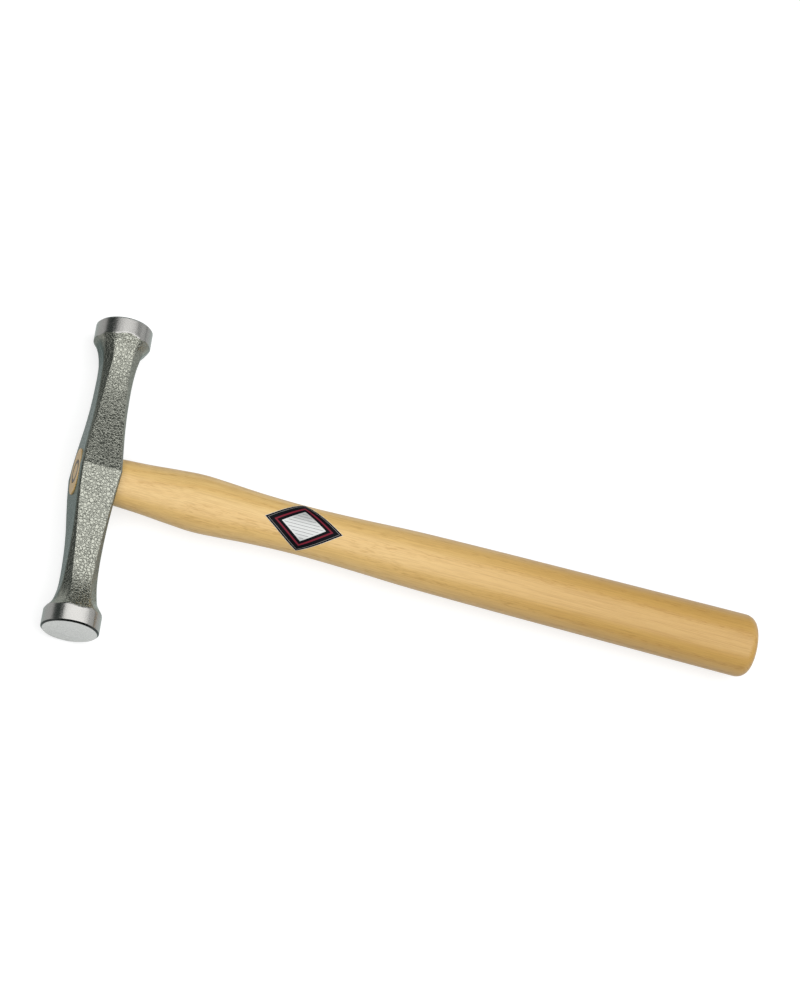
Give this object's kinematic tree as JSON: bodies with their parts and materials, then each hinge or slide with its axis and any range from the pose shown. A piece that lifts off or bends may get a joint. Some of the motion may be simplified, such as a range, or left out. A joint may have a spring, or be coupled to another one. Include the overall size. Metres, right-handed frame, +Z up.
{
  "type": "blacksmith hammer",
  "caption": "Light metalworker's hammer with a slim forged head, two round flat polished faces and an oval ash handle, lying on its side.",
  "frame": {"origin": "On the ground plane, below the middle of the hammer's bounding box. The hammer lies on its side on the two rims and the butt.", "axes": "+X runs along the handle from the head to the butt, +Y along the head to one striking face, +Z up out of the side that carries the label."},
  "size_m": [0.3046, 0.1354, 0.0236],
  "materials": {
    "head_finish": "grey-green hammertone paint on the body, bare ground and polished steel on the rims and faces",
    "ash_wood": "sanded ash under clear satin lacquer",
    "wedge_steel": "dark bare steel",
    "label_paper": "printed gloss paper in black, silver and dark red with no lettering"
  },
  "bodies": {
    "root": {"head": "head_finish", "handle": "ash_wood", "ring_wedge": "wedge_steel", "label": "label_paper"}
  },
  "joints": []
}
